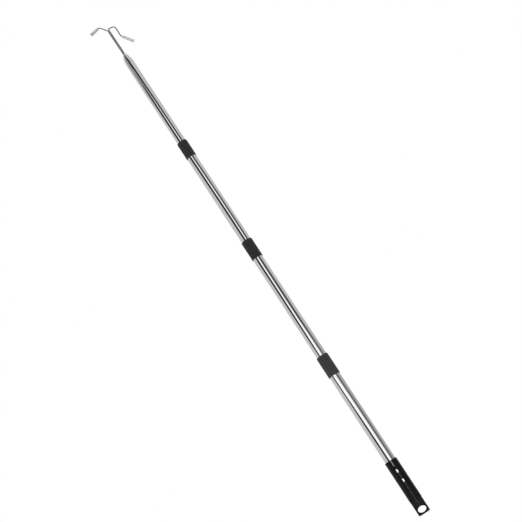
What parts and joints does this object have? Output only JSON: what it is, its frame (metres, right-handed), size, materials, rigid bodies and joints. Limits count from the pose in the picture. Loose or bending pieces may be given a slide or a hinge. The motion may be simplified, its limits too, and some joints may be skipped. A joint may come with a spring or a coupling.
{
  "type": "telescopic hook pole",
  "caption": "Slim telescopic metal pole with a moulded handle, ribbed twist-lock collars and a forked wire hook with soft tips, for lifting and reaching.",
  "frame": {"origin": "on the pole's axis, in the middle of the handle's round gripping length", "axes": "+Z along the pole from the handle to the hook; the handle's flat faces look along -Y and +Y"},
  "size_m": [0.0818, 0.0358, 1.3558],
  "materials": {
    "stainless_tube": "polished",
    "steel_wire": "polished",
    "soft_sleeve": "milky, translucent",
    "gloss_black": "gloss",
    "charcoal_plastic": "satin",
    "zinc_steel": "zinc plated",
    "black_rubber": "matte",
    "grey_plastic": "matte",
    "white_nylon": "matte"
  },
  "bodies": {
    "handle": {"handle_grip": "gloss_black", "tube_1": "stainless_tube", "tube_bumper": "black_rubber", "collar_1": "charcoal_plastic"},
    "lock_2": {"lock_sleeve_2": "white_nylon"},
    "wedge_2": {"lock_wedge_2": "white_nylon"},
    "section_2": {"tube_2": "stainless_tube", "glide_sleeve_2": "white_nylon", "lock_plug_2": "white_nylon", "lock_stud_2": "zinc_steel", "lock_nut_2": "zinc_steel", "collar_2": "charcoal_plastic"},
    "lock_3": {"lock_sleeve_3": "white_nylon"},
    "wedge_3": {"lock_wedge_3": "white_nylon"},
    "section_3": {"tube_3": "stainless_tube", "glide_sleeve_3": "white_nylon", "lock_plug_3": "white_nylon", "lock_stud_3": "zinc_steel", "lock_nut_3": "zinc_steel", "collar_3": "charcoal_plastic"},
    "lock_4": {"lock_sleeve_4": "white_nylon"},
    "wedge_4": {"lock_wedge_4": "white_nylon"},
    "section_4": {"tube_4": "stainless_tube", "glide_sleeve_4": "white_nylon", "lock_plug_4": "white_nylon", "lock_stud_4": "zinc_steel", "lock_nut_4": "zinc_steel", "nose_cone": "stainless_tube", "hook_socket": "grey_plastic", "hook_wire_left": "steel_wire", "hook_wire_right": "steel_wire", "tip_sleeve_left": "soft_sleeve", "tip_sleeve_right": "soft_sleeve"}
  },
  "joints": [
    {"name": "stage_2_slide", "type": "slide", "parent": "handle", "child": "lock_2", "axis": [0, 0, 1], "range_m": [-0.2642, 0]},
    {"name": "stage_2_twist", "type": "hinge", "parent": "lock_2", "child": "section_2", "pos_m": [0, 0, 0], "axis": [0, 0, 1], "range_deg": [-180, 0]},
    {"name": "stage_2_wedge", "type": "slide", "parent": "lock_2", "child": "wedge_2", "axis": [0, 0, 1], "range_m": [-0.001, 0]},
    {"name": "stage_3_slide", "type": "slide", "parent": "section_2", "child": "lock_3", "axis": [0, 0, 1], "range_m": [-0.2371, 0]},
    {"name": "stage_3_twist", "type": "hinge", "parent": "lock_3", "child": "section_3", "pos_m": [0, 0, 0], "axis": [0, 0, 1], "range_deg": [-180, 0]},
    {"name": "stage_3_wedge", "type": "slide", "parent": "lock_3", "child": "wedge_3", "axis": [0, 0, 1], "range_m": [-0.001, 0]},
    {"name": "stage_4_slide", "type": "slide", "parent": "section_3", "child": "lock_4", "axis": [0, 0, 1], "range_m": [-0.235, 0]},
    {"name": "stage_4_twist", "type": "hinge", "parent": "lock_4", "child": "section_4", "pos_m": [0, 0, 0], "axis": [0, 0, 1], "range_deg": [-180, 0]},
    {"name": "stage_4_wedge", "type": "slide", "parent": "lock_4", "child": "wedge_4", "axis": [0, 0, 1], "range_m": [-0.001, 0]}
  ],
  "couplings": [
    {"joint": "stage_2_wedge", "follows": "stage_2_twist", "m_per_rad": 0.000318},
    {"joint": "stage_3_wedge", "follows": "stage_3_twist", "m_per_rad": 0.000318},
    {"joint": "stage_4_wedge", "follows": "stage_4_twist", "m_per_rad": 0.000318}
  ]
}
